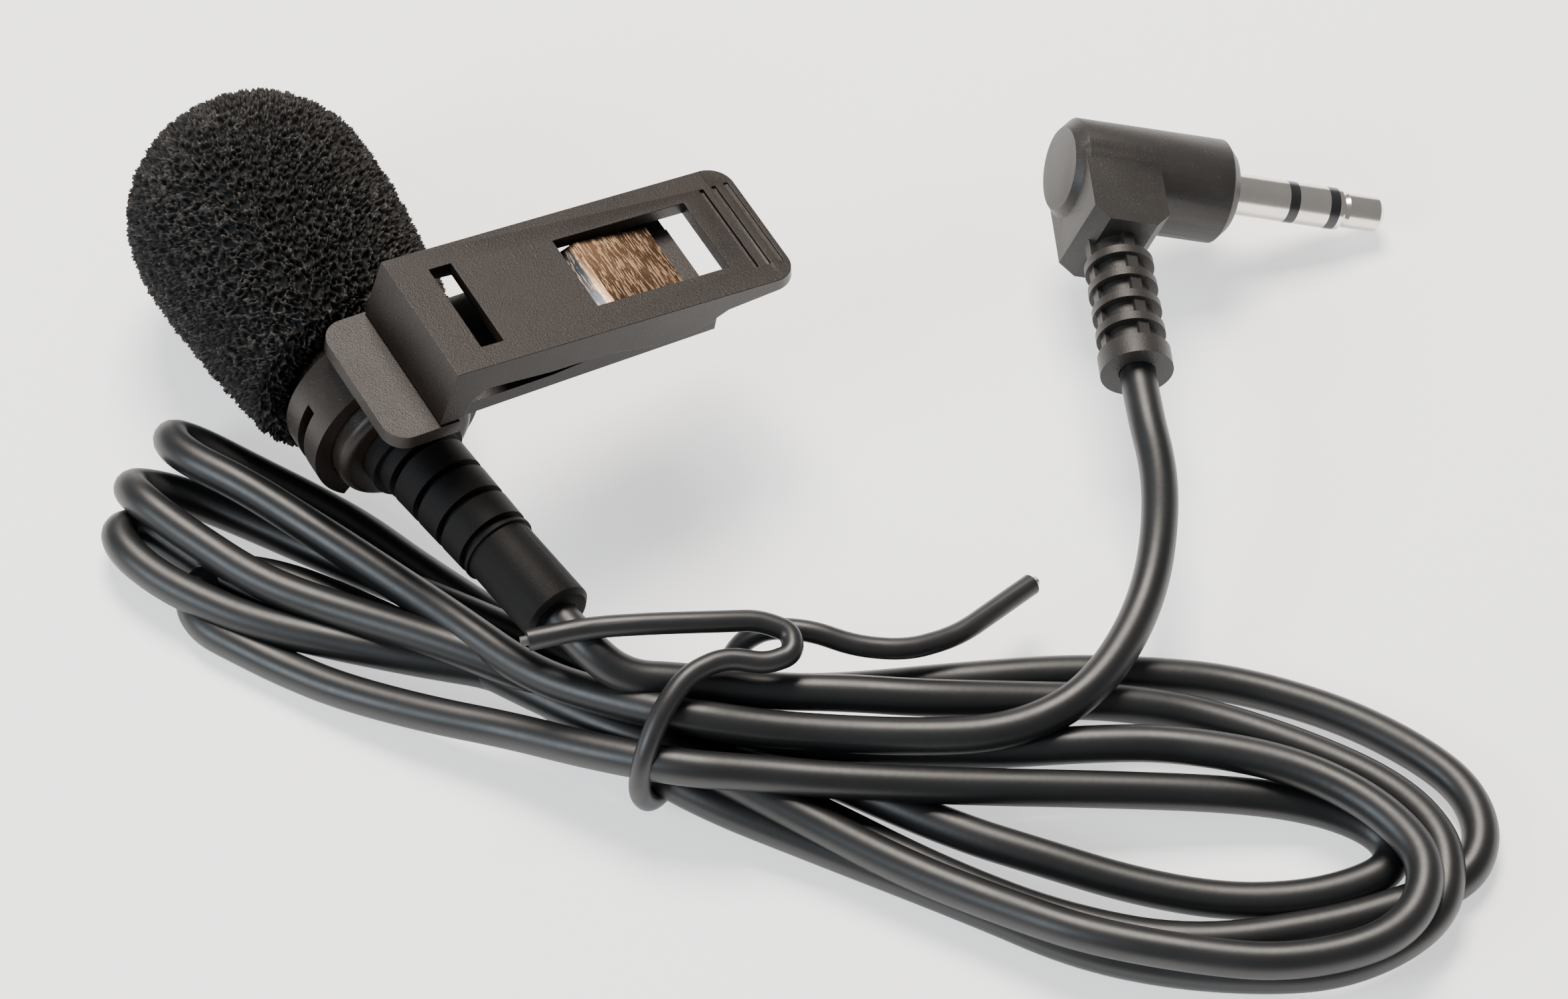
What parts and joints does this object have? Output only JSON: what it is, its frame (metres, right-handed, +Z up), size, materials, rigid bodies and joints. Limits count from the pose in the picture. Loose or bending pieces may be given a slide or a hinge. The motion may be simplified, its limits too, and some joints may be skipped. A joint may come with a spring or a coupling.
{
  "type": "lavalier microphone",
  "caption": "Clip-on lapel microphone with a pull-off foam windscreen, a sprung two-lever clip on a turning ring, a tied hank of cord and a right-angle jack plug",
  "frame": {"origin": "centre of the underside of the microphone's own box, on the table", "axes": "+Y along the microphone towards the windscreen, +X towards the clip's nose, +Z up"},
  "size_m": [0.109, 0.1128, 0.025],
  "materials": {
    "foam": "open-cell foam, black",
    "black_metal": "satin black paint",
    "cloth": "fine black cloth",
    "capsule_can": "bright drawn can",
    "soft_rubber": "matt",
    "board": "green solder mask",
    "solder": "bright solder",
    "wire_red": "red insulation",
    "wire_bare": "bare copper screen, twisted",
    "black_plastic": "black, moulded",
    "steel": "plain steel",
    "cord_jacket": "satin black jacket",
    "boot_rubber": "matt black rubber",
    "clip_plastic": "fine-grained black plastic",
    "spring_steel": "blued spring strip",
    "tie_plastic": "black covering",
    "plug_plastic": "matt black moulding",
    "nickel": "nickel plate"
  },
  "bodies": {
    "microphone": {"mic_barrel": "black_metal", "front_grille": "black_metal", "dust_screen": "cloth", "electret_capsule": "capsule_can", "capsule_gasket": "soft_rubber", "capsule_board": "board", "solder_joint_signal": "solder", "solder_joint_ground": "solder", "lead_wire_signal": "wire_red", "lead_wire_ground": "wire_bare", "rear_bush": "black_plastic", "cord_crimp": "steel", "cord_in_boot": "cord_jacket", "mic_boot": "boot_rubber", "cord_mic_lead": "cord_jacket", "cord_hank": "cord_jacket", "cord_plug_lead": "cord_jacket", "tie_wire": "tie_plastic", "tie_core_left": "steel", "tie_core_right": "steel", "plug_moulding": "plug_plastic", "plug_sleeve": "nickel", "plug_ring": "nickel", "plug_tip": "nickel", "plug_insulator_rear": "black_plastic", "plug_insulator_front": "black_plastic"},
    "windscreen": {"foam_windscreen": "foam"},
    "clip_lower": {"clip_lower_lever": "clip_plastic"},
    "clip_upper": {"clip_upper_lever": "clip_plastic", "clip_spring": "spring_steel", "hinge_pin": "steel"}
  },
  "joints": [
    {"name": "windscreen_pull", "type": "slide", "parent": "microphone", "child": "windscreen", "axis": [0, 1, 0], "range_m": [0, 0.024]},
    {"name": "ring_turn", "type": "hinge", "parent": "microphone", "child": "clip_lower", "pos_m": [-0.01099, -0.00662, 0.011], "axis": [0, -1, 0], "range_deg": [-15, 70]},
    {"name": "clip_open", "type": "hinge", "parent": "clip_lower", "child": "clip_upper", "pos_m": [0.01094, -0.00662, 0.01787], "axis": [0, 1, 0], "range_deg": [0, 12], "stiffness_Nm_per_rad": 0.02, "springref_deg": -28.65}
  ]
}
